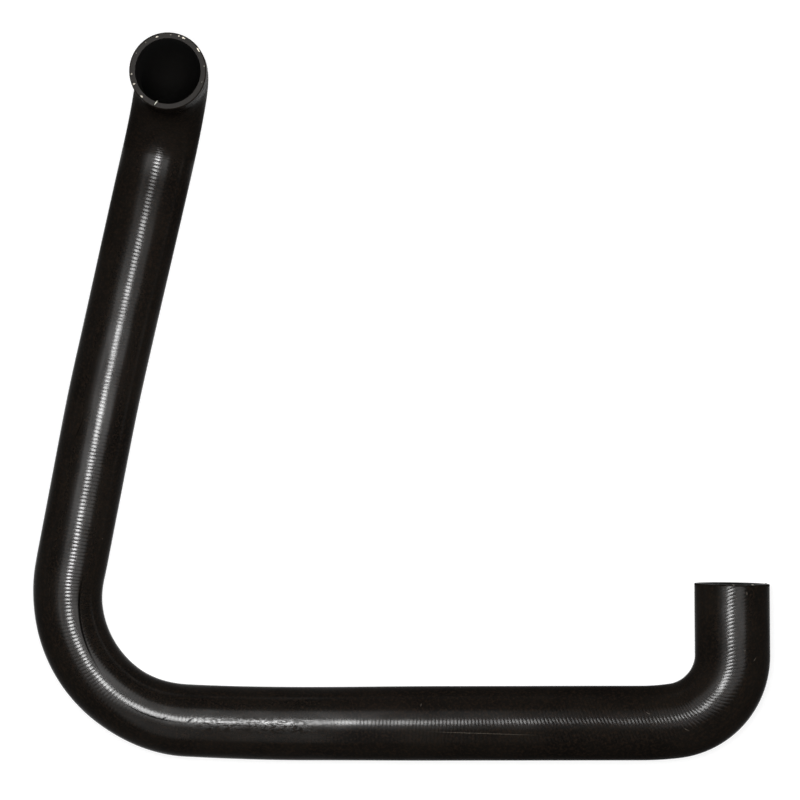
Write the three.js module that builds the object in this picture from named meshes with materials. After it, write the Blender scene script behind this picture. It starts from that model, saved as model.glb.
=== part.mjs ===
// A moulded rubber air intake hose for an engine bay, in millimetres, lying on its side with +Z up.
// Seen from above, its long leg runs along X. The side end opens along +Y and the upper end opens upwards.
import * as THREE from 'three';

// The wall. The bore is what slides over the pipes at both ends.
const BORE = 50;
const WALL = 4.35;
const EDGE_BREAK = 0.8;

// The route is walked from the side end to the upper end. All flat bends turn right, seen from above.
const SIDE_HEADING_DEG = -89.6;
const SIDE_CUFF = 55.9;
const SIDE_BEND_RADIUS = 51.7;
const SIDE_BEND_DEG = 83;
const SIDE_EASE_RADIUS = 209.5;
const SIDE_EASE_DEG = 7.3;
const LONG_LEG = 256.1;
const CORNER_EASE_RADIUS = 1895;
const CORNER_EASE_DEG = 3;
const CORNER_RADIUS = 98.5;
const CORNER_DEG = 98;
const LEFT_LEG_LOWER = 109.6;
const LEFT_BOW_RADIUS = 1739;
const LEFT_BOW_DEG = 1.9;
const LEFT_LEG_UPPER = 162.2;
const UPPER_BEND_RADIUS = 62.6;
const UPPER_BEND_DEG = 90;
const UPPER_CUFF = 58.9;

// The hose was cut to length by hand, so the side end leans a little out of square, towards -X.
const SIDE_CUT_SKEW_DEG = -1.2;

// How much wider, seen from above, the hose is than its nominal outside. It pinches in at the corner.
const SIDE_CUFF_SWELL = 0.5;
const SIDE_BEND_SWELL = 1;
const LONG_LEG_SWELL = -0.2;
const LONG_LEG_END_SWELL = -1.1;
const CORNER_ENTRY_SWELL = -1.9;
const CORNER_SWELL = -5;
const CORNER_EXIT_SWELL = -2.9;
const LEFT_LEG_SWELL = -2.3;
const UPPER_BEND_SWELL = -1.5;

// Where the widths change, as shares of the stretch they lie on.
const LONG_LEG_TAPER_FROM = 0.6;
const CORNER_PINCH_FROM = 0.35;
const CORNER_PINCH_TO = 0.8;
const CORNER_EXIT_AT = 0.1;

// How finely the surface is faceted.
const SIDES = 28;
const BEND_STEP_DEG = 7;
const STRAIGHT_STEP = 26;

const UP = new THREE.Vector3(0, 0, 1);
const OUTER_RADIUS = BORE / 2 + WALL;

// One stretch of constant curvature. A radius of zero means that it is straight.
class Stretch extends THREE.Curve {
  constructor(name, start, heading, length, radius, axis) {
    super();
    Object.assign(this, { name, start, heading, length, radius, axis });
  }

  turned(t) {
    return this.radius ? t * this.length / this.radius : 0;
  }

  getTangent(t, target = new THREE.Vector3()) {
    return target.copy(this.heading).applyAxisAngle(this.axis, this.turned(t));
  }

  getPoint(t, target = new THREE.Vector3()) {
    if (!this.radius) return target.copy(this.heading).multiplyScalar(t * this.length).add(this.start);
    const arm = new THREE.Vector3().crossVectors(this.heading, this.axis).multiplyScalar(this.radius);
    target.copy(this.start).sub(arm);
    return target.add(arm.applyAxisAngle(this.axis, this.turned(t)));
  }

  get steps() {
    const degrees = THREE.MathUtils.radToDeg(this.turned(1));
    return Math.max(1, Math.ceil(degrees / BEND_STEP_DEG), Math.ceil(this.length / STRAIGHT_STEP));
  }
}

// The whole centre line. Equal steps of its parameter are the stations where the wall gets a ring of points,
// which lie closer together in the bends.
class Route extends THREE.Curve {
  constructor() {
    super();
    this.stretches = [];
    this.start = new THREE.Vector3(0, 0, OUTER_RADIUS);
    const angle = THREE.MathUtils.degToRad(SIDE_HEADING_DEG);
    this.heading = new THREE.Vector3(Math.cos(angle), Math.sin(angle), 0);
  }

  append(name, length, radius, axis) {
    const stretch = new Stretch(name, this.start.clone(), this.heading.clone(), length, radius, axis);
    this.stretches.push(stretch);
    this.start = stretch.getPoint(1);
    this.heading = stretch.getTangent(1);
    return this;
  }

  straight(name, length) {
    return this.append(name, length, 0, UP.clone());
  }

  bendRight(name, radius, degrees) {
    return this.append(name, radius * THREE.MathUtils.degToRad(degrees), radius, UP.clone().negate());
  }

  bendUp(name, radius, degrees) {
    const axis = new THREE.Vector3().crossVectors(this.heading, UP);
    return this.append(name, radius * THREE.MathUtils.degToRad(degrees), radius, axis);
  }

  get steps() {
    return this.stretches.reduce((sum, stretch) => sum + stretch.steps, 0);
  }

  locate(t) {
    let station = t * this.steps;
    let walked = 0;
    for (const stretch of this.stretches) {
      if (station <= stretch.steps || stretch === this.stretches.at(-1)) {
        return { stretch, part: station / stretch.steps, walked };
      }
      station -= stretch.steps;
      walked += stretch.length;
    }
  }

  getPoint(t, target) {
    const { stretch, part } = this.locate(t);
    return stretch.getPoint(part, target);
  }

  getTangent(t, target) {
    const { stretch, part } = this.locate(t);
    return stretch.getTangent(part, target);
  }

  getUtoTmapping(u) {
    return u;
  }

  distance(t) {
    const { stretch, part, walked } = this.locate(t);
    return walked + part * stretch.length;
  }

  distanceTo(name, part) {
    const index = this.stretches.findIndex((stretch) => stretch.name === name);
    const before = this.stretches.slice(0, index).reduce((sum, stretch) => sum + stretch.length, 0);
    return before + part * this.stretches[index].length;
  }
}

function makeRoute() {
  return new Route()
    .straight('side edge', EDGE_BREAK)
    .straight('side cuff', SIDE_CUFF - EDGE_BREAK)
    .bendRight('side bend', SIDE_BEND_RADIUS, SIDE_BEND_DEG)
    .bendRight('side ease', SIDE_EASE_RADIUS, SIDE_EASE_DEG)
    .straight('long leg', LONG_LEG)
    .bendRight('corner ease', CORNER_EASE_RADIUS, CORNER_EASE_DEG)
    .bendRight('corner', CORNER_RADIUS, CORNER_DEG)
    .straight('left leg, lower', LEFT_LEG_LOWER)
    .bendRight('left bow', LEFT_BOW_RADIUS, LEFT_BOW_DEG)
    .straight('left leg, upper', LEFT_LEG_UPPER)
    .bendUp('upper bend', UPPER_BEND_RADIUS, UPPER_BEND_DEG)
    .straight('upper cuff', UPPER_CUFF - EDGE_BREAK)
    .straight('upper edge', EDGE_BREAK);
}

// The width of the hose along the route: a swell at each named place, eased from one to the next.
function swellAt(route, distance) {
  const places = [
    [route.distanceTo('side cuff', 1), SIDE_CUFF_SWELL],
    [route.distanceTo('side bend', 0.5), SIDE_BEND_SWELL],
    [route.distanceTo('long leg', 0), LONG_LEG_SWELL],
    [route.distanceTo('long leg', LONG_LEG_TAPER_FROM), LONG_LEG_SWELL],
    [route.distanceTo('long leg', 1), LONG_LEG_END_SWELL],
    [route.distanceTo('corner', 0), CORNER_ENTRY_SWELL],
    [route.distanceTo('corner', CORNER_PINCH_FROM), CORNER_SWELL],
    [route.distanceTo('corner', CORNER_PINCH_TO), CORNER_SWELL],
    [route.distanceTo('left leg, lower', CORNER_EXIT_AT), CORNER_EXIT_SWELL],
    [route.distanceTo('left bow', 1), LEFT_LEG_SWELL],
    [route.distanceTo('upper bend', 0), UPPER_BEND_SWELL],
    [route.distanceTo('upper bend', 1), 0],
  ];
  const next = places.findIndex(([at]) => at > distance);
  if (next === 0) return places[0][1];
  if (next < 0) return places.at(-1)[1];
  const [[from, before], [to, after]] = [places[next - 1], places[next]];
  return THREE.MathUtils.lerp(before, after, THREE.MathUtils.smoothstep(distance, from, to));
}

// Everything that the wall needs to know at each station.
function makeStations(route) {
  const frames = route.computeFrenetFrames(route.steps, false);
  return route.getSpacedPoints(route.steps).map((centre, index) => ({
    centre,
    tangent: frames.tangents[index],
    side: frames.binormals[index],
    swell: swellAt(route, route.distance(index / route.steps)),
    isEnd: index === 0 || index === route.steps,
    isSideEnd: index <= 1,
  }));
}

function nearest(stations, point) {
  return stations.reduce((best, station) => (
    station.centre.distanceToSquared(point) < best.centre.distanceToSquared(point) ? station : best));
}

// Moves one point of the plain round tube to its place on the real wall.
function settle(point, station) {
  const offset = point.clone().sub(station.centre);
  const radius = offset.length();
  const isOuter = radius > BORE / 2 + WALL / 2;
  const across = offset.dot(station.side);
  offset.addScaledVector(station.side, across * station.swell / 2 / radius);
  if (station.isEnd && isOuter) offset.multiplyScalar((radius - EDGE_BREAK) / radius);
  if (station.isSideEnd) {
    const skew = Math.tan(THREE.MathUtils.degToRad(SIDE_CUT_SKEW_DEG));
    offset.addScaledVector(station.tangent, offset.dot(station.side) * skew);
  }
  return point.copy(station.centre).add(offset);
}

function makeSection() {
  const section = new THREE.Shape().absarc(0, 0, OUTER_RADIUS, 0, 2 * Math.PI, false);
  section.holes.push(new THREE.Path().absarc(0, 0, BORE / 2, 0, 2 * Math.PI, true));
  return section;
}

function makeHose() {
  const route = makeRoute();
  const stations = makeStations(route);
  const geometry = new THREE.ExtrudeGeometry(makeSection(), {
    curveSegments: SIDES / 2,
    steps: route.steps,
    extrudePath: route,
  });
  const positions = geometry.getAttribute('position');
  const point = new THREE.Vector3();
  for (let index = 0; index < positions.count; index += 1) {
    point.fromBufferAttribute(positions, index);
    settle(point, nearest(stations, point));
    positions.setXYZ(index, point.x, point.y, point.z);
  }
  geometry.computeBoundingBox();
  const middle = geometry.boundingBox.getCenter(new THREE.Vector3());
  geometry.translate(-middle.x, -middle.y, -geometry.boundingBox.min.z);
  geometry.computeVertexNormals();
  const rubber = new THREE.MeshStandardMaterial({ color: 0x1e1c19, roughness: 0.5, metalness: 0 });
  const hose = new THREE.Mesh(geometry, rubber);
  hose.name = 'hose';
  return hose;
}

const airIntakeHose = new THREE.Group();
airIntakeHose.add(makeHose());

export default airIntakeHose;
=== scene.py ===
# %% [markdown]
# # A moulded rubber air intake hose
# The real hose is made by winding rubber sheet, yarn and a curing tape round a bent steel former. The tape
# leaves hundreds of fine ribs round the outside, and a knife cuts both ends to length. This script makes
# that surface, and everything stands in one shared frame with the solid model: metres, +Z up, the hose
# lying on the floor at zero.

# %% Load the solid model
import math

import bmesh
import bpy
import numpy as np
from mathutils import Matrix, Vector, noise


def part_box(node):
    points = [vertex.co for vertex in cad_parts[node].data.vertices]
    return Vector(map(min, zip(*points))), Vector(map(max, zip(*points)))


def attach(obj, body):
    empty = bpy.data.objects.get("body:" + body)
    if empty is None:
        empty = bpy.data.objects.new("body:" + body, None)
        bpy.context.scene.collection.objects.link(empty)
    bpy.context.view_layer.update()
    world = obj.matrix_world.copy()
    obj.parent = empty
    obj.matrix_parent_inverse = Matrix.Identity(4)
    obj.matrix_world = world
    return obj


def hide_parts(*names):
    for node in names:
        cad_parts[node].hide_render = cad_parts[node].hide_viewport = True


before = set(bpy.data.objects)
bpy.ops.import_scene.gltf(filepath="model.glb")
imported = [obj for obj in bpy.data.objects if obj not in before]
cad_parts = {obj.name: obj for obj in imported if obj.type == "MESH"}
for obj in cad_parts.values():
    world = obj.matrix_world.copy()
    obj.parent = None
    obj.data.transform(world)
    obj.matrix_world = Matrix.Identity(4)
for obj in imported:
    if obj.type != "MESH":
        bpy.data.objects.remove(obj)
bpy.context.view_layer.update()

hose_low, hose_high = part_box("hose")
print("solid hose from", [round(v, 4) for v in hose_low], "to", [round(v, 4) for v in hose_high])

# %% [markdown]
# ## The route
# A hose like this is a list of straights and bends, as a bending drawing gives them. Each stretch below has
# a length or a radius and an angle, walked from the side end to the upper end. A curve object with handles
# could follow the same line, but a list of true arcs keeps every bend round and lets the rings of the mesh
# be counted.

# %% Sizes of the hose
MM = 0.001
BORE_RADIUS = 25 * MM
WALL = 4.35 * MM
OUTER_RADIUS = BORE_RADIUS + WALL
EDGE = 0.8 * MM
SIDE_HEADING = math.radians(-89.6)
SIDE_CUT_SKEW = math.radians(-1.2)
print("outside:", round(2 * OUTER_RADIUS / MM, 1), "mm across")

# %% Straights and bends
# Each stretch is its name, its kind, its length or its bend radius, and its angle in degrees.
ROUTE = [
    ("side edge", "straight", EDGE, 0),
    ("side cuff", "straight", 55.9 * MM - EDGE, 0),
    ("side bend", "right", 51.7 * MM, 83),
    ("side ease", "right", 209.5 * MM, 7.3),
    ("long leg", "straight", 256.1 * MM, 0),
    ("corner ease", "right", 1895 * MM, 3),
    ("corner", "right", 98.5 * MM, 98),
    ("lower left leg", "straight", 109.6 * MM, 0),
    ("left bow", "right", 1739 * MM, 1.9),
    ("upper left leg", "straight", 162.2 * MM, 0),
    ("upper bend", "up", 62.6 * MM, 90),
    ("upper cuff", "straight", 58.9 * MM - EDGE, 0),
    ("upper edge", "straight", EDGE, 0),
]


def stretch_length(kind, size, degrees):
    return size if kind == "straight" else size * math.radians(degrees)


starts = dict(zip(
    [name for name, *_ in ROUTE],
    np.cumsum([0] + [stretch_length(*shape) for _, *shape in ROUTE]),
))
HOSE_LENGTH = sum(stretch_length(*shape) for _, *shape in ROUTE)
print("length along the middle of the bore:", round(HOSE_LENGTH, 4), "m")

# %% [markdown]
# ## Walking the route
# Each stretch starts where the last one ended and turns the hose to the right, or up at its upper end. It
# can tell the middle of the bore and the directions ahead and to the right at any distance along it. Later
# steps need those to know which way is out of the wall.

# %% Walk the route


class Stretch:
    """One straight or bend of the route, which starts where the one before it ended."""

    def __init__(self, kind, size, degrees, start, middle, heading, side):
        self.start, self.middle, self.heading, self.side = start, middle, heading, side
        self.length = stretch_length(kind, size, degrees)
        self.radius = 0 if kind == "straight" else size
        above = side.cross(heading)
        self.centre = middle + (above if kind == "up" else side) * size
        self.axis = side if kind == "up" else -above

    def at(self, distance):
        """The middle of the bore, the heading and the sideways direction at a distance along the hose."""
        gone = distance - self.start
        if not self.radius:
            return self.middle + self.heading * gone, self.heading, self.side
        turn = Matrix.Rotation(gone / self.radius, 3, self.axis)
        return self.centre + turn @ (self.middle - self.centre), turn @ self.heading, turn @ self.side


def walk_route():
    heading = Vector((math.cos(SIDE_HEADING), math.sin(SIDE_HEADING), 0))
    distance, middle, side = 0, Vector((0, 0, OUTER_RADIUS)), heading.cross(Vector((0, 0, 1)))
    stretches = []
    for _, kind, size, degrees in ROUTE:
        stretches.append(Stretch(kind, size, degrees, distance, middle, heading, side))
        distance += stretches[-1].length
        middle, heading, side = stretches[-1].at(distance)
    return stretches


stretches = walk_route()


def frame_at(distance):
    return next(stretch for stretch in reversed(stretches) if distance >= stretch.start).at(distance)


print("the upper end faces", [round(v, 3) for v in frame_at(HOSE_LENGTH)[1]])

# %% [markdown]
# ## How wide the hose is
# A hose isn't a perfect pipe. It swells a little at the cuffs, and where it was bent tightly it pinches in
# across the bend. A lattice could squeeze it afterwards, but a list says where and how much: at a few named
# places it holds how much wider than its nominal size the hose is, seen from above, and a smooth ease runs
# from each to the next.

# %% Widths along the route


def place(name, share):
    """The distance along the route at a share of a named stretch."""
    shape = next(shape for stretch, *shape in ROUTE if stretch == name)
    return starts[name] + share * stretch_length(*shape)


SWELLS = [
    (place("side cuff", 1), 0.5 * MM),
    (place("side bend", 0.5), 1 * MM),
    (place("long leg", 0), -0.2 * MM),
    (place("long leg", 0.6), -0.2 * MM),
    (place("long leg", 1), -1.1 * MM),
    (place("corner", 0), -1.9 * MM),
    (place("corner", 0.35), -5 * MM),
    (place("corner", 0.8), -5 * MM),
    (place("lower left leg", 0.1), -2.9 * MM),
    (place("left bow", 1), -2.3 * MM),
    (place("upper bend", 0), -1.1 * MM),
    (place("upper bend", 0.5), -1.5 * MM),
    (place("upper bend", 1), -2.3 * MM),
    (place("upper cuff", 0.6), 0),
]


def ease(t):
    return t * t * (3 - 2 * t)


def swell_at(distance):
    if distance <= SWELLS[0][0]:
        return SWELLS[0][1]
    for (before, low), (after, high) in zip(SWELLS, SWELLS[1:]):
        if distance <= after:
            return low + (high - low) * ease((distance - before) / (after - before))
    return SWELLS[-1][1]


print("narrowest by", round(-min(swell for _, swell in SWELLS) / MM, 1), "mm, in the corner")

# %% [markdown]
# ## Rolling the wall
# The real hose starts as flat sheet, so the mesh does too. It is one grid. Its rows run up the outside of
# the hose, over the cut face at the upper end and back down the bore, and the last row closes onto the
# first at the side end. Sweeping a ring with the spin operator would look the same, but it takes a minute
# for this many rows.
#
# Rows lie close together over the ribs and the rounded edges, and far apart in the smooth bore. The mesh
# stops a little short of the solid at both ends, which leaves room for the yarn that stands out of the
# cuts.

# %% Rows of the sheet
RIB_PITCH = 2.9 * MM
ROWS_PER_RIB = 4
BORE_ROW_GAP = 8 * MM
EDGE_ROWS = 4
CUT_BACK = 0.15 * MM
FIRST_RIB = CUT_BACK + EDGE

edge_rows = [CUT_BACK + EDGE * (1 - math.cos(math.pi / 2 * part / EDGE_ROWS)) for part in range(EDGE_ROWS)]
ribbed_length = HOSE_LENGTH - 2 * FIRST_RIB
rib_count = round(ribbed_length / RIB_PITCH)
rib_pitch = ribbed_length / rib_count
between = list(np.linspace(FIRST_RIB, HOSE_LENGTH - FIRST_RIB, rib_count * ROWS_PER_RIB + 1))
outer_distances = edge_rows + between + [HOSE_LENGTH - distance for distance in reversed(edge_rows)]
bore_distances = list(np.linspace(HOSE_LENGTH - CUT_BACK, CUT_BACK, round(HOSE_LENGTH / BORE_ROW_GAP) + 1))
rows = [(distance, True) for distance in outer_distances] + [(distance, False) for distance in bore_distances]
rows.append(rows[0])
print("rows outside:", len(outer_distances), "rows in the bore:", len(bore_distances))

# %% [markdown]
# ## The skin of the hose
# Each turn of the tape leaves a soft rib, the wall below it is never quite even, and the turns creep to and
# fro as they are wound. A displace modifier with a texture could do this. Small functions of the place on
# the hose do it here, because they let the ribs die away before the cut ends. Everything goes down from the
# nominal surface, never up, so that the hose stays inside its solid model.

# %% A smooth random value
NOISE_RING = 1.3


def wander(distance, angle, size, seed):
    """A smooth random value from -1 to 1, with no seam: a turn round the hose is a ring in the noise."""
    turn = NOISE_RING * math.cos(angle) + seed, NOISE_RING * math.sin(angle)
    return noise.noise(Vector((distance / size, *turn)))


print("wander at the side end:", round(wander(0, 0, MM, 1), 3))

# %% Ribs, waves and creep
# The profile is how deep each row of a rib lies. A change is the distance over which a noise changes, and a
# seed picks its place in the noise.
RIB_PROFILE = (0, 0.45, 1, 0.6)
RIB_DEPTH = 0.03 * MM
RIB_UNEVENNESS = 0.6
RIB_FADE = 3 * MM
WAVE_DEPTH = 0.12 * MM
CREEP = 1.3 * MM
CLEARANCE = 0.01 * MM
RIB_CHANGE, RIB_SEED = 30 * MM, 7
WAVE_CHANGE, WAVE_SEED = 70 * MM, 3
CREEP_CHANGE, CREEP_SEED = 45 * MM, 11


def from_end(distance):
    """How far a row is from the nearer cut."""
    return min(distance, HOSE_LENGTH - distance) - CUT_BACK


def rounded_edge(distance):
    """How far the outside drops near a cut end, as a quarter round."""
    inset = max(0, EDGE - from_end(distance))
    return EDGE - math.sqrt(EDGE * EDGE - inset * inset)


def sink(row, distance, angle):
    """How far a point of the outside lies below the nominal surface."""
    fade = min(1, from_end(distance) / RIB_FADE)
    unevenness = 1 + RIB_UNEVENNESS * wander(distance, angle, RIB_CHANGE, RIB_SEED)
    rib = RIB_DEPTH * RIB_PROFILE[row % ROWS_PER_RIB] * unevenness
    wave = WAVE_DEPTH * (0.5 + 0.5 * wander(distance, angle, WAVE_CHANGE, WAVE_SEED))
    return fade * (rib + wave) + rounded_edge(distance) + CLEARANCE


def drift(distance, angle):
    """How far a point of the outside has crept along the hose as the tape was wound."""
    return min(1, from_end(distance) / RIB_FADE) * CREEP * wander(distance, angle, CREEP_CHANGE, CREEP_SEED)


print(rib_count, "ribs,", round(rib_pitch / MM, 3), "mm apart")

# %% [markdown]
# ## From flat sheet to bent hose
# The grid operator gives the flat sheet with its faces already joined, so only its points have to move.
# Each one goes to its angle round the hose and its distance along it. It also keeps where it was on the
# straight roll, before the hose was bent, in an attribute called "former". Patterns that read it follow the
# hose round its bends, as the tape marks do on the real one.

# %% Lay out the sheet
SIDES = 54
OUTSIDE, CUT, INSIDE = range(3)
hose_bm = bmesh.new()
former_layer = hose_bm.verts.layers.float_vector.new("former")
sheet = bmesh.ops.create_grid(hose_bm, x_segments=SIDES, y_segments=len(rows) - 1, size=1)["verts"]
for index, face in enumerate(hose_bm.faces):
    row = index // SIDES
    is_outer, is_next_outer = rows[row][1], rows[row + 1][1]
    face.material_index = OUTSIDE if is_outer else INSIDE
    if is_outer != is_next_outer:
        face.material_index = CUT
    face.smooth = face.material_index != CUT
print("faces in the sheet:", len(hose_bm.faces))

# %% Roll and bend it
SKEW_FADE = 18 * MM


def wall_point(station, radius, swell, angle, forward):
    """The place of a point at an angle round the hose: zero is to the right and a quarter turn is up."""
    middle, heading, side = station
    return (middle + side * (radius + swell / 2) * math.cos(angle)
            + side.cross(heading) * radius * math.sin(angle) + heading * forward)


row_stations = [frame_at(distance) for distance, _ in rows]
row_swells = [swell_at(distance) for distance, _ in rows]
for index, vert in enumerate(sheet):
    row, step = divmod(index, SIDES + 1)
    angle = 2 * math.pi * step / SIDES
    distance, is_outer = rows[row]
    radius = OUTER_RADIUS - sink(row, distance, angle) if is_outer else BORE_RADIUS
    skew = math.tan(SIDE_CUT_SKEW) * max(0, 1 - distance / SKEW_FADE)
    forward = radius * math.cos(angle) * skew + (drift(distance, angle) if is_outer else 0)
    vert.co = wall_point(row_stations[row], radius, row_swells[row], angle, forward)
    vert[former_layer] = (distance, radius * math.cos(angle), radius * math.sin(angle))
print("points placed:", len(sheet))

# %% Close the seams
WELD = 0.001 * MM
edge_verts = [vert for vert in hose_bm.verts if vert.is_boundary]
bmesh.ops.remove_doubles(hose_bm, verts=edge_verts, dist=WELD)
bmesh.ops.recalc_face_normals(hose_bm, faces=hose_bm.faces)
print("open edges left:", sum(not edge.is_manifold for edge in hose_bm.edges))

# %% [markdown]
# ## The hose as an object
# A bmesh is only a workbench, so its result goes into a mesh, and an object shows that mesh. The route was
# walked from a corner of its own, so the hose is moved sideways onto the middle of the solid one. The mesh
# moves and not the object, because every finished object here stays at the origin.

# %% Make it an object


def finish_mesh(bm, name):
    mesh = bpy.data.meshes.new(name)
    bm.to_mesh(mesh)
    bm.free()
    piece = bpy.data.objects.new(name, mesh)
    bpy.context.collection.objects.link(piece)
    triangles = sum(len(face.vertices) - 2 for face in mesh.polygons)
    print(name, "has", triangles, "triangles")
    return piece


hose = finish_mesh(hose_bm, "ribbed_hose")
points = np.array([vertex.co for vertex in hose.data.vertices])
own_low, own_high = points.min(axis=0), points.max(axis=0)
shift = (np.array(hose_low) + np.array(hose_high) - own_low - own_high) / 2
shift[2] = 0
hose.data.transform(Matrix.Translation(Vector(shift)))
print("moved onto the solid by", np.round(shift, 5))

# %% [markdown]
# ## Materials
# Each one starts from what the real material is. Rubber, polyester and paint all have an IOR near 1.5,
# which is what the shader starts with, so what tells them apart is colour, roughness, gloss and bump. One
# helper turns a colour picked as a web hex value into the linear numbers that the renderer needs, and one
# adds a node with its settings and its links.

# %% Colour and node helpers
# A Mix node has sockets for numbers, vectors and colours. These are the places of those that colours need.
MIX_AMOUNT, MIX_UNDER, MIX_OVER, MIXED = 0, 6, 7, 2


def linear(hex_colour):
    """A web colour such as "1e1c19" as linear red, green, blue and alpha."""
    channels = [int(hex_colour[index:index + 2], 16) / 255 for index in (0, 2, 4)]
    return tuple(c / 12.92 if c <= 0.04045 else ((c + 0.055) / 1.055) ** 2.4 for c in channels) + (1,)


def add(tree, kind, inputs=(), **settings):
    """Adds a node. Its inputs, in order or by name or number, are values, sockets or other nodes."""
    made = tree.nodes.new(kind)
    for name, value in settings.items():
        setattr(made, name, value)
    for socket, value in inputs.items() if isinstance(inputs, dict) else enumerate(inputs):
        source = value.outputs[0] if isinstance(value, bpy.types.Node) else value
        if isinstance(source, bpy.types.NodeSocket):
            tree.links.new(source, made.inputs[socket])
        else:
            made.inputs[socket].default_value = source
    return made


def new_material(name):
    """A material and its node tree, which starts empty."""
    material = bpy.data.materials.new(name)
    material.use_nodes = True
    material.node_tree.nodes.clear()
    return material, material.node_tree


print("the middle grey 808080 is", round(linear("808080")[0], 3), "in linear light")

# %% [markdown]
# ## Cured rubber
# The outside is black EPDM rubber cured under a wound tape. It is nearly black with a warm cast, and satin,
# so a lamp shows as a soft streak. Its finish could be a painted picture, but here nodes work out every
# pattern from real sizes, so it stays sharp from near by. All of them read "former": how far along the hose
# a point is, and how far it lies to the right of the middle of the bore and above it.

# %% Places on the rubber
cured_rubber, tree = new_material("cured_rubber")
former = add(tree, "ShaderNodeAttribute", attribute_name="former").outputs["Vector"]
former_parts = add(tree, "ShaderNodeSeparateXYZ", [former]).outputs
along, across = former_parts["X"], former_parts["Y"]
print("the patterns are", round(HOSE_LENGTH / MM), "mm long")

# %% Noises of the rubber
# Each noise is its size along the hose, its size across it, and how much fine detail it has. The grain and
# the specks are about 0.2 mm on the real rubber. That is finer than a pixel, so they are drawn five to ten
# times as coarse.
NOISES = {
    "waver": (9 * MM, 14 * MM, 2),
    "wear": (14 * MM, 25 * MM, 2),
    "cracks": (3.6 * MM, 1.4 * MM, 3),
    "grain": (1.1 * MM, 2.4 * MM, 3),
    "patches": (40 * MM, 30 * MM, 4),
    "specks": (2.2 * MM, 2.2 * MM, 3),
    "rubbing": (35 * MM, 12 * MM, 2),
}
noises = {}
for name, (lengthways, crossways, detail) in NOISES.items():
    scale = (1 / lengthways, 1 / crossways, 1 / crossways)
    spread = add(tree, "ShaderNodeMapping", {"Vector": former, "Scale": scale})
    noises[name] = add(tree, "ShaderNodeTexNoise", {"Vector": spread, "Scale": 1, "Detail": detail})
print("noises of the rubber:", ", ".join(noises))

# %% [markdown]
# ## Ridges of the tape
# The tape leaves round ridges with sharp valleys between them, which cut the streak of light into dashes.
# The mesh has their place and their depth. Their fine shape is a bump, because it would take millions of
# faces: the absolute value of a cosine is round on top and sharp below. On the side cuff and the first part
# of the long leg the tape was wound at a slant. Where the long leg runs into the corner it was rubbed
# smooth, so there the ridges give way to long cracks.

# %% Zones along the hose
# Each zone is where it begins, where it is full, where it starts to fade and where it ends.
ZONES = {
    "worn": (380 * MM, 440 * MM, 545 * MM, 575 * MM),
    "cracked": (395 * MM, 420 * MM, 495 * MM, 520 * MM),
}
zones = {}
for name, (start, full, fading, end) in ZONES.items():
    rise = add(tree, "ShaderNodeMapRange", [along, start, full])
    fall = add(tree, "ShaderNodeMapRange", [along, end, fading])
    zones[name] = add(tree, "ShaderNodeMath", [rise, fall], operation="MULTIPLY")
print("the corner is from", round(place("corner", 0) / MM), "to", round(place("corner", 1) / MM), "mm")

# %% Shape of the ridges
RIDGE_SLANT = 0.35
SLANTED_TO, SQUARE_FROM = 220 * MM, 300 * MM
WAVER = 1.6
leaning = add(tree, "ShaderNodeMapRange", [along, SLANTED_TO, SQUARE_FROM, RIDGE_SLANT, 0])
slant = add(tree, "ShaderNodeMath", [across, leaning], operation="MULTIPLY")
ridge_place = add(tree, "ShaderNodeMath", [along, FIRST_RIB], operation="SUBTRACT")
ridge_place = add(tree, "ShaderNodeMath", [ridge_place, slant], operation="SUBTRACT")
waver = add(tree, "ShaderNodeMath", [noises["waver"], WAVER, -WAVER / 2], operation="MULTIPLY_ADD")
half_turns = add(tree, "ShaderNodeMath", [ridge_place, math.pi / rib_pitch, waver], operation="MULTIPLY_ADD")
ridges = add(tree, "ShaderNodeMath", [half_turns], operation="COSINE")
ridges = add(tree, "ShaderNodeMath", [ridges], operation="ABSOLUTE")
lean = round(math.degrees(math.atan(RIDGE_SLANT)))
print("ridges lean by", lean, "degrees up to", round(SLANTED_TO / MM), "mm")

# %% Strength of the ridges
# They stand out most from the side bend to the start of the long leg, and least where the tape was rubbed
# smooth.
WORN_STRENGTH = 0.2
PROUD_STRENGTH = 2
PROUD_MIDDLE, PROUD_REACH, PROUD_END = 175 * MM, 50 * MM, 85 * MM
WEAR_LOW, WEAR_HIGH = 0.3, 0.7
LEAST_STRENGTH, MOST_STRENGTH = 0.5, 1.4
unworn = add(tree, "ShaderNodeMapRange", [zones["worn"], 0, 1, 1, WORN_STRENGTH])
uneven = add(tree, "ShaderNodeMapRange", [
    noises["wear"], WEAR_LOW, WEAR_HIGH, LEAST_STRENGTH, MOST_STRENGTH,
])
off_middle = add(tree, "ShaderNodeMath", [along, PROUD_MIDDLE], operation="SUBTRACT")
off_middle = add(tree, "ShaderNodeMath", [off_middle], operation="ABSOLUTE")
proud = add(tree, "ShaderNodeMapRange", [off_middle, PROUD_REACH, PROUD_END, PROUD_STRENGTH, 1])
for strength in (unworn, uneven, proud):
    ridges = add(tree, "ShaderNodeMath", [ridges, strength], operation="MULTIPLY")
print("the ridges are strongest round", round(PROUD_MIDDLE / MM), "mm along the hose")

# %% Cracks before the corner
# They show only along the crest of the hose, where the rubber was stretched most.
CREST, CREST_END = 4 * MM, 8 * MM
CRACK_EDGE, CRACK_FULL = 0.49, 0.54
off_crest = add(tree, "ShaderNodeMath", [across], operation="ABSOLUTE")
on_crest = add(tree, "ShaderNodeMapRange", [off_crest, CREST, CREST_END, 1, 0])
cracks = add(tree, "ShaderNodeMapRange", [noises["cracks"], CRACK_EDGE, CRACK_FULL])
for share in (zones["cracked"], on_crest):
    cracks = add(tree, "ShaderNodeMath", [cracks, share], operation="MULTIPLY")
print("cracks within", round(CREST_END / MM), "mm of the crest")

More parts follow.
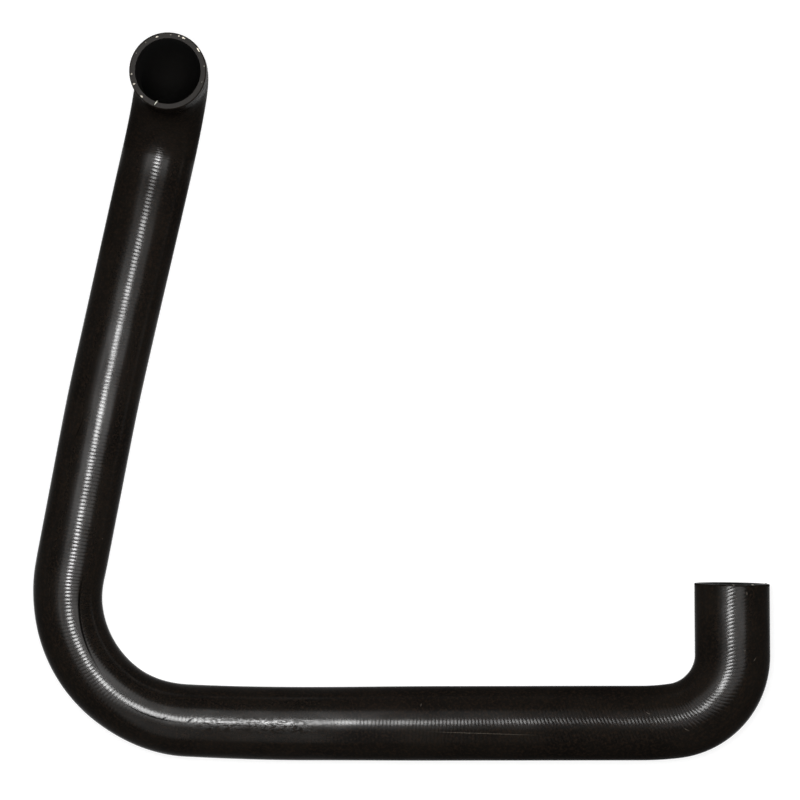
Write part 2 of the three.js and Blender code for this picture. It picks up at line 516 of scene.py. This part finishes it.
# %% Bump of the rubber
RIDGE_HEIGHT = 0.055 * MM
GRAIN_HEIGHT = 0.02 * MM
CRACK_DEPTH = 0.012 * MM
height = 0
for pattern, size in ((ridges, RIDGE_HEIGHT), (noises["grain"], GRAIN_HEIGHT), (cracks, -CRACK_DEPTH)):
    height = add(tree, "ShaderNodeMath", [pattern, size, height], operation="MULTIPLY_ADD")
bump = add(tree, "ShaderNodeBump", {"Height": height, "Distance": 1, "Strength": 1})
print("ridges stand up to", round(PROUD_STRENGTH * RIDGE_HEIGHT / MM, 3), "mm high")

# %% [markdown]
# ## Marks on the rubber
# The hose has been handled. The dark marks are a crease and two nicks in the corner, a thin fold on the left
# leg, a small spot, and the edge of the halo box's grey band in the corner. The darkness of the crease, the
# nicks, the fold and the band's edge is painted shade. The pale marks are a few scuffs and a pale tape line
# on the long leg and by the side end. Each mark is a thin ellipse in the coordinates of the straight roll, so
# the list gives its place along and across the hose in millimetres, its length, its width and the angle it
# leans by. They could be thin pieces of mesh, but a mark is only a change of colour and gloss, which belongs
# in the material.

# %% Marks of handling
# The dark marks are painted shade in a crease, nicks and a fold, and along the edge of the grey band.
PAINTED_SHADE_MARKS = [
    (540.6, 0.1, 61, 1.3, 0), (529.3, 1.3, 6.5, 1.6, 134), (509.2, 2.1, 7, 1.8, 139),
    (839.8, 4.6, 1.4, 1.4, 0), (791.4, -13.3, 22, 0.7, 15), (640, 10.2, 100, 2.4, 4),
]
PALE_MARKS = [
    (281.9, -6, 95, 0.7, 2), (711.3, 22.3, 1, 1, 0), (50.9, -7.6, 2.6, 1.4, 60), (57.7, -15.6, 3.5, 0.7, 40),
    (6.8, -9.5, 3, 1.6, 0), (153.5, 9.3, 4, 1, 30), (124.5, -6.1, 6, 0.7, 45), (330, 16, 3, 0.9, 110),
]
MARK_CORE = 0.5
MARK_REACH = 25 * MM


def marked(marks):
    """One inside any mark of a list, zero elsewhere. The third coordinate keeps marks off the underside."""
    total = 0
    for along_mm, across_mm, length, width, lean in marks:
        own = add(tree, "ShaderNodeMapping", {
            "Vector": former,
            "Location": (along_mm * MM, across_mm * MM, MARK_REACH),
            "Rotation": (0, 0, math.radians(lean)),
            "Scale": (length / 2 * MM, width / 2 * MM, MARK_REACH),
        }, vector_type="TEXTURE")
        reach = add(tree, "ShaderNodeVectorMath", [own], operation="LENGTH").outputs["Value"]
        inside = add(tree, "ShaderNodeMapRange", [reach, 1, MARK_CORE])
        total = add(tree, "ShaderNodeMath", [total, inside], operation="MAXIMUM")
    return total


painted_shade_marks, pale_marks = marked(PAINTED_SHADE_MARKS), marked(PALE_MARKS)
print(len(PAINTED_SHADE_MARKS), "dark marks and", len(PALE_MARKS), "pale ones")

# %% [markdown]
# ## Colour of the rubber
# Black rubber is never one black. Oil and dust leave soft patches, and the filler shows as brown specks.
# Each coat of colour lies over the ones before it, and a pattern says where it shows. A colour ramp on one
# noise would be shorter, but then patches, specks and marks couldn't lie over each other.

# %% Colour of the cured rubber
# Each coat is its pattern, the range of it over which the coat comes in, how much of it shows, and its
# colour.
GROUND_COLOUR = "13110f"
COATS = (
    (noises["patches"], 0.35, 0.65, 1, "1b1815"),
    (noises["specks"], 0.45, 0.75, 1, "251d17"),
    (pale_marks, 0, 1, 0.4, "6a6259"),
    # Painted shade: the dark marks darken the crease, the nicks, the fold and the edge of the grey band.
    (painted_shade_marks, 0, 1, 1, "060504"),
)
colour = linear(GROUND_COLOUR)
for pattern, low, high, most, hex_colour in COATS:
    amount = add(tree, "ShaderNodeMapRange", [pattern, low, high, 0, most])
    coat = {MIX_AMOUNT: amount, MIX_UNDER: colour, MIX_OVER: linear(hex_colour)}
    colour = add(tree, "ShaderNodeMix", coat, data_type="RGBA").outputs[MIXED]
print("coats of colour:", len(COATS))

# %% [markdown]
# ## Gloss of the rubber
# The real hose is rubbed shiny in places and dull in others, and it loses its gloss in the cracks. Its gloss
# also rises and falls along the hose, which is a painted highlight that stands in for how the lamps' light
# falls along the hose. The dark marks and the rounded edges at the cut ends lose their gloss as painted
# shade. A Layer Weight node fades the gloss out towards the edge-on sides, which is painted shade too: it
# keeps them from reflecting the glowing floor. The gloss is the shader's specular level. Roughness could vary
# instead, but that would also widen the streak.

# %% Painted sheen along the hose
# Each pair is a distance along the hose in millimetres and the share of the full gloss that the rubber has
# there. This painted sheen sets how bright the lamp's streak is at each place.
PAINTED_SHEEN = [
    (0, 0.68), (95, 0.48), (150, 0.14), (205, 0.12), (265, 0.22), (348, 0.36), (380, 0.45), (415, 0.9),
    (469, 0.65), (540, 0.9), (700, 0.82), (730, 0.82), (790, 0.85), (850, 0.97), (930, 0.5), (975, 0.34),
    (993, 0.27), (1003, 0.8), (1011, 1), (1017, 0.25), (1035, 0.12), (1080, 0.06),
]
share_along = add(tree, "ShaderNodeMapRange", [along, 0, HOSE_LENGTH])
painted_sheen = add(tree, "ShaderNodeValToRGB", [share_along])
# New stops all start in the middle, and each is then moved to its place.
while len(painted_sheen.color_ramp.elements) < len(PAINTED_SHEEN):
    painted_sheen.color_ramp.elements.new(0.5)
for stop, (along_mm, level) in zip(painted_sheen.color_ramp.elements, PAINTED_SHEEN):
    stop.position = along_mm * MM / HOSE_LENGTH
    stop.color = (level, level, level, 1)
print("stops of sheen:", len(painted_sheen.color_ramp.elements))

# %% What dims the gloss
# Each entry is a value, its range, and the gloss at the two ends of that range.
to_upper = add(tree, "ShaderNodeMath", [HOSE_LENGTH, along], operation="SUBTRACT")
from_cut = add(tree, "ShaderNodeMath", [along, to_upper], operation="MINIMUM")
edge_on = add(tree, "ShaderNodeLayerWeight", {"Blend": 0.5}).outputs["Facing"]
GLOSSES = (
    # Painted shade: the edge-on sides lose their gloss, so they don't reflect the glowing floor.
    (edge_on, 0.09, 0.32, 0.5, 0.006),
    # Painted shade: the rounded edges at the cut ends lose their gloss.
    (from_cut, FIRST_RIB, 2 * FIRST_RIB, 0, 1),
    (noises["rubbing"], 0.35, 0.65, 0.65, 1.2),
    # Painted shade: the dark marks lose their gloss.
    (painted_shade_marks, 0, 1, 1, 0.1),
    (cracks, 0, 1, 1, 0.3),
)
# The gloss starts from the painted sheen, the painted highlight strength along the hose.
gloss = painted_sheen
for ranges in GLOSSES:
    share = add(tree, "ShaderNodeMapRange", ranges)
    gloss = add(tree, "ShaderNodeMath", [gloss, share], operation="MULTIPLY")
print("things that dim the gloss:", len(GLOSSES))

# %% Cured rubber
rubber = add(tree, "ShaderNodeBsdfPrincipled", {
    "Base Color": colour,
    "Roughness": 0.2,
    "Normal": bump,
    "Specular IOR Level": gloss,
})
add(tree, "ShaderNodeOutputMaterial", {"Surface": rubber})
print(cured_rubber.name, "has", len(tree.nodes), "nodes")

# %% [markdown]
# ## Cut rubber
# A fresh knife cut is matt and grey, because the blade tears the surface at the scale of its carbon filler.
# A noise gives both the mottled grey and a slight bump, so that colour and relief agree. The torn grain is
# really about 0.1 mm wide. It is drawn 1.5 mm wide, or it wouldn't show.

# %% Cut rubber
CUT_GRAIN = 1.5 * MM
CUT_RELIEF = 0.08 * MM
cut_rubber, tree = new_material("cut_rubber")
where = add(tree, "ShaderNodeTexCoord").outputs["Object"]
mottle = add(tree, "ShaderNodeTexNoise", {"Vector": where, "Scale": 1 / CUT_GRAIN, "Detail": 3})
greys = {MIX_AMOUNT: mottle, MIX_UNDER: linear("1c1a17"), MIX_OVER: linear("292522")}
colour = add(tree, "ShaderNodeMix", greys, data_type="RGBA").outputs[MIXED]
bump = add(tree, "ShaderNodeBump", {"Height": mottle, "Distance": CUT_RELIEF, "Strength": 0.5})
cut = add(tree, "ShaderNodeBsdfPrincipled", {"Base Color": colour, "Roughness": 0.8, "Normal": bump})
add(tree, "ShaderNodeOutputMaterial", {"Surface": cut})
print(cut_rubber.name, "has", len(tree.nodes), "nodes")

# %% [markdown]
# ## Bore rubber
# The bore was moulded against the bare steel former, so it has no tape marks. It is smooth and dull, with
# faint long streaks from the day it was pulled off. They are a noise that is stretched along the hose
# through "former". One material could serve inside and outside, but the bore would then need the ridges and
# the gloss masked away.

# %% Bore rubber
STREAK_LENGTH, STREAK_WIDTH = 60 * MM, 3 * MM
bore_rubber, tree = new_material("bore_rubber")
bore_former = add(tree, "ShaderNodeAttribute", attribute_name="former").outputs["Vector"]
scale = (1 / STREAK_LENGTH, 1 / STREAK_WIDTH, 1 / STREAK_WIDTH)
spread = add(tree, "ShaderNodeMapping", {"Vector": bore_former, "Scale": scale})
streaks = add(tree, "ShaderNodeTexNoise", {"Vector": spread, "Scale": 1, "Detail": 2})
blacks = {MIX_AMOUNT: streaks, MIX_UNDER: linear("0f0e0d"), MIX_OVER: linear("161412")}
colour = add(tree, "ShaderNodeMix", blacks, data_type="RGBA").outputs[MIXED]
bore = add(tree, "ShaderNodeBsdfPrincipled", {"Base Color": colour, "Roughness": 0.55})
add(tree, "ShaderNodeOutputMaterial", {"Surface": bore})
print(bore_rubber.name, "has", len(tree.nodes), "nodes")

# %% [markdown]
# ## The hose in its materials
# The slots are filled in the order in which the faces were numbered: outside, cut, inside. The hose then
# rides on the part's one body, and the solid hose that it stands for is hidden.

# %% Dress the hose
for material in (cured_rubber, cut_rubber, bore_rubber):
    hose.data.materials.append(material)
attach(hose, "root")
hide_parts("hose")
print(hose.name, "wears", [material.name for material in hose.data.materials])

# %% [markdown]
# ## Yarn ends
# A layer of knitted polyester yarn lies in the middle of the wall and keeps the hose from swelling. The
# knife leaves its ends as small pale tufts in the cut face. Each could be a bundle of curves, but a tuft is
# only a few pixels wide, so it is a flattened ball pressed into the face. The lists give its angle round
# the bore, its distance from the middle, its length round the hose, its width and how pale it is.

# %% Places of the yarn ends
UPPER_TUFTS = [
    (107.4, 27.1, 2.7, 1.15, 0.9), (72.4, 27.7, 1.4, 1.4, 1), (64.6, 27.7, 3.3, 1.35, 0.9),
    (35, 28.1, 4.3, 1.35, 1), (7.4, 27.7, 1.2, 1, 0.3), (-18.3, 27.1, 1.2, 1, 0.2),
    (184.8, 27.4, 1.9, 1.6, 0.5), (201, 27.5, 1.7, 2.2, 0.7), (224.3, 27.7, 2.7, 1.35, 0.9),
    (150.5, 27.3, 1.5, 1, 0.15), (128, 27.3, 1.5, 1, 0.15), (85.4, 27.4, 1.4, 1, 0.2),
]
SIDE_TUFTS = [
    (10, 27.4, 2, 1.2, 0.3), (172, 27.5, 2.6, 1.2, 0.3), (195, 27.3, 1.6, 1.2, 0.6), (232, 27.3, 2, 1.3, 0.6),
    (268, 27.5, 3, 1.2, 0.8), (301, 27.6, 2.4, 1.2, 0.7),
]
print(len(UPPER_TUFTS), "yarn ends in the upper cut and", len(SIDE_TUFTS), "in the side one")

# %% Press a tuft into a cut face
WORLD_RIGHT = Vector((1, 0, 0))
ROUND_THE_HOSE = 90


def face_matrix(distance):
    """A frame on a cut face: its first axis near the world's +X, its third out of the face."""
    middle, heading, _ = frame_at(distance)
    out = heading if distance else -heading
    above = out.cross(WORLD_RIGHT).normalized()
    turn = Matrix((above.cross(out), above, out)).transposed().to_4x4()
    return Matrix.Translation(middle + Vector(shift)) @ turn


def press_in(bm, face, tuft, thickness, lean=ROUND_THE_HOSE):
    """One flattened ball, pressed into a cut face so that its top is level with the end of the solid."""
    degrees, reach, length, width = tuft
    angle = math.radians(degrees)
    centre = Vector((reach * MM * math.cos(angle), reach * MM * math.sin(angle), -thickness))
    turn = Matrix.Rotation(angle + math.radians(lean), 4, "Z")
    size = Matrix.Diagonal((length / 2 * MM, width / 2 * MM, thickness, 1))
    ball = face @ Matrix.Translation(centre) @ turn @ size
    return bmesh.ops.create_icosphere(bm, subdivisions=2, radius=1, matrix=ball)["verts"]


upper_face = face_matrix(HOSE_LENGTH)
print("the upper cut is", round(upper_face.translation.z / MM, 1), "mm above the floor")

# %% Yarn ends
TUFT_THICKNESS = 0.3 * MM
yarn_bm = bmesh.new()
pale = yarn_bm.verts.layers.float.new("pale")
for face, tufts in ((upper_face, UPPER_TUFTS), (face_matrix(0), SIDE_TUFTS)):
    for *tuft, paleness in tufts:
        for vert in press_in(yarn_bm, face, tuft, TUFT_THICKNESS):
            vert[pale] = paleness
for face in yarn_bm.faces:
    face.smooth = True
yarn = finish_mesh(yarn_bm, "yarn_ends")

# %% [markdown]
# ## Loose thread
# One end of yarn was pulled out by the knife and hangs over the edge of the bore. It is made as the tufts
# are, longer and turned to point into the bore, and it is a piece of its own because it is a thing of its
# own.

# %% Loose thread
THREAD = (249.5, 25.9, 4.8, 1.1)
THREAD_THICKNESS = 0.35 * MM
THREAD_LEAN = -16
thread_bm = bmesh.new()
press_in(thread_bm, upper_face, THREAD, THREAD_THICKNESS, THREAD_LEAN)
for face in thread_bm.faces:
    face.smooth = True
thread = finish_mesh(thread_bm, "loose_thread")

# %% [markdown]
# ## Polyester
# Polyester yarn is off-white and has no gloss from a step away, because its hair-thin fibres scatter the
# light. The rubber stained most of the ends, so the attribute "pale" mixes each one's colour. A material
# for each end would do the same with far more to keep.

# %% Polyester yarn and thread
polyester_yarn, tree = new_material("polyester_yarn")
paleness = add(tree, "ShaderNodeAttribute", attribute_name="pale").outputs["Fac"]
whites = {MIX_AMOUNT: paleness, MIX_UNDER: linear("35302c"), MIX_OVER: linear("f4ecdc")}
colour = add(tree, "ShaderNodeMix", whites, data_type="RGBA").outputs[MIXED]
fibres = add(tree, "ShaderNodeBsdfPrincipled", {"Base Color": colour, "Roughness": 0.8})
add(tree, "ShaderNodeOutputMaterial", {"Surface": fibres})

polyester_thread, tree = new_material("polyester_thread")
fibres = add(tree, "ShaderNodeBsdfPrincipled", {"Base Color": linear("c6c7b8"), "Roughness": 0.8})
add(tree, "ShaderNodeOutputMaterial", {"Surface": fibres})

for piece, material in ((yarn, polyester_yarn), (thread, polyester_thread)):
    piece.data.materials.append(material)
    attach(piece, "root")
    print(piece.name, "wears", material.name)

# %% [markdown]
# ## Floor
# The photo's ground is pure white. A floor that is lit to white would throw its light back onto the black
# rubber, so the floor is a middle grey that also glows for the rays that reach it from the camera, straight
# or by reflection. Shadows still darken its own grey, so the hose keeps its faint shadow.

# %% Floor
FLOOR_HALF = 12
floor_bm = bmesh.new()
bmesh.ops.create_grid(floor_bm, x_segments=1, y_segments=1, size=FLOOR_HALF)
floor = finish_mesh(floor_bm, "floor")
print("the floor is", 2 * FLOOR_HALF, "m wide")

# %% Paint of the floor
FLOOR_GLOW = 0.83
pale_floor, tree = new_material("pale_floor")
path = add(tree, "ShaderNodeLightPath").outputs
seen = 0
for ray in ("Is Camera Ray", "Is Glossy Ray", "Is Transmission Ray"):
    seen = add(tree, "ShaderNodeMath", [seen, path[ray]], operation="MAXIMUM")
strength = add(tree, "ShaderNodeMath", [seen, FLOOR_GLOW], operation="MULTIPLY")
glow = add(tree, "ShaderNodeEmission", {"Color": linear("ffffff"), "Strength": strength})
matt = add(tree, "ShaderNodeBsdfDiffuse", {"Color": linear("959595")})
both = add(tree, "ShaderNodeAddShader", [matt, glow])
add(tree, "ShaderNodeOutputMaterial", {"Surface": both})
floor.data.materials.append(pale_floor)
print(floor.name, "wears", pale_floor.name)

# %% [markdown]
# ## Lamps
# On a black, satin tube nearly all that the eye gets is the reflection of the lamps, so their sizes and
# places shape the streak. The small, bright key box near the middle gives the hot core of the streak. The
# large halo box above it gives the grey band on both sides of the core. The broad and the far box fill in
# the rest, very faintly. Pictures of a studio wrapped round the scene could do the same, but boxes can be
# measured and moved one by one.

# %% Lamps
# Each soft box is its width, its depth, its place, and its radiance, which is the brightness of its face.
SOFT_BOXES = {
    "key_box": (0.46, 0.37, (-0.1, 0, 1.93), 33),
    "halo_box": (5, 4.2, (0.3, 1, 3.65), 1.3),
    "broad_box": (4.12, 1.91, (-0.198, 0.302, 2.36), 0.3),
    "far_box": (1.59, 2.87, (-0.593, -2.1, 1.95), 0.32),
}
for name, (width, depth, middle, radiance) in SOFT_BOXES.items():
    lamp = bpy.data.lights.new(name, "AREA")
    lamp.shape = "RECTANGLE"
    lamp.size, lamp.size_y = width, depth
    lamp.energy = radiance * width * depth * math.pi
    box = bpy.data.objects.new(name, lamp)
    box.location = middle
    bpy.context.collection.objects.link(box)
    print(name, "gives", round(lamp.energy, 1), "W")

# %% [markdown]
# ## World
# A faint grey all round stands for the walls of the studio. Without it the shaded sides of the hose would
# be lost.

# %% World
WORLD_LIGHT = 0.02
world = bpy.data.worlds.new("studio")
world.use_nodes = True
background = world.node_tree.nodes["Background"]
background.inputs["Color"].default_value = linear("ffffff")
background.inputs["Strength"].default_value = WORLD_LIGHT
bpy.context.scene.world = world
print("the world gives", WORLD_LIGHT)

# %% [markdown]
# ## Camera
# The photo was taken from straight above and from nearly four metres away, so the hose hardly shows its
# sides. The distance and the size that one pixel covers at the height of the hose's middle came from the
# photo's outline: the upper end is nearer to the camera and so looks larger. Only the lens is worked out,
# so that both come true.

# %% Camera
PHOTO_PIXELS = 800
PIXEL_SIZE = 0.783 * MM
DISTANCE_PIXELS = 4800
CAMERA_DISTANCE = DISTANCE_PIXELS * PIXEL_SIZE
CAMERA_X, CAMERA_Y = -1.33 * MM, 1.85 * MM
SENSOR = 36
FAR_CLIP = 100
camera_data = bpy.data.cameras.new("camera")
camera_data.sensor_width = SENSOR
camera_data.lens = SENSOR * DISTANCE_PIXELS / PHOTO_PIXELS
camera_data.clip_end = FAR_CLIP
camera = bpy.data.objects.new("camera", camera_data)
camera.location = (CAMERA_X, CAMERA_Y, OUTER_RADIUS + CAMERA_DISTANCE)
bpy.context.collection.objects.link(camera)
bpy.context.scene.camera = camera
bpy.context.scene.view_settings.view_transform = "Standard"
print("camera", round(CAMERA_DISTANCE, 3), "m above the hose, with a", round(camera_data.lens), "mm lens")
